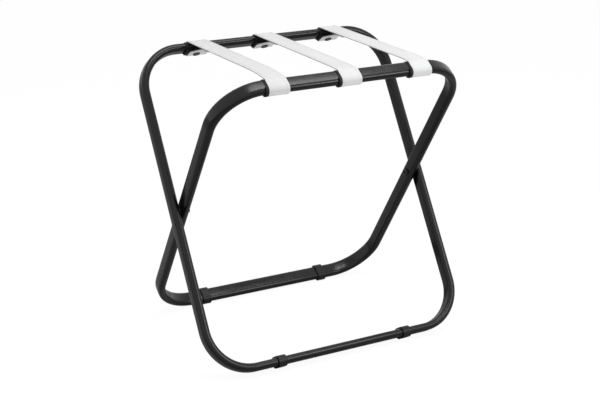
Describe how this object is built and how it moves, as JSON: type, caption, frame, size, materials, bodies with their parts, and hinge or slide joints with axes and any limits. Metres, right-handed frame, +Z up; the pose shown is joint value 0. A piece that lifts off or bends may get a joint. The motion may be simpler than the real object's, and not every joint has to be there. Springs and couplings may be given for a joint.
{
  "type": "folding luggage rack",
  "caption": "Folding rack that holds a suitcase off the floor: crossed loops of flat-oval tube, hinged at mid-height, with carrying straps stretched between their top rails.",
  "frame": {"origin": "on the floor, under the middle of the rack", "axes": "+Z up, +X to the right along the rails, +Y from the inner loop's top rail to the outer loop's"},
  "size_m": [0.503, 0.3444, 0.5097],
  "materials": {
    "tube": "black powder coat, fine texture, satin",
    "foot_ring": "black, satin",
    "pivot_steel": "black oxide",
    "zinc": "zinc plated",
    "nylon": "black nylon",
    "strap": "white coated webbing, folded and stitched edges",
    "sleeve": "black, matte",
    "stud": "dark grey, satin"
  },
  "bodies": {
    "outer_loop": {"outer_frame": "tube", "outer_foot_left": "foot_ring", "outer_foot_right": "foot_ring", "pivot_screw_left": "pivot_steel", "pivot_screw_right": "pivot_steel", "pivot_nut_left": "zinc", "pivot_nut_right": "zinc", "pivot_washer_left": "nylon", "pivot_washer_right": "nylon", "strap_left": "strap", "strap_middle": "strap", "strap_right": "strap", "back_sleeve_left": "sleeve", "back_sleeve_middle": "sleeve", "back_sleeve_right": "sleeve", "back_stud_left": "stud", "back_stud_middle": "stud", "back_stud_right": "stud"},
    "inner_loop": {"inner_frame": "tube", "inner_foot_left": "foot_ring", "inner_foot_right": "foot_ring", "front_sleeve_left": "sleeve", "front_sleeve_middle": "sleeve", "front_sleeve_right": "sleeve", "front_stud_left": "stud", "front_stud_middle": "stud", "front_stud_right": "stud", "pivot_bush_left": "nylon", "pivot_bush_right": "nylon"}
  },
  "joints": [
    {"name": "fold", "type": "hinge", "parent": "outer_loop", "child": "inner_loop", "pos_m": [0, 0, 0.25464], "axis": [-1, 0, 0], "range_deg": [0, 57], "deforming": ["strap_left", "strap_middle", "strap_right"]}
  ]
}
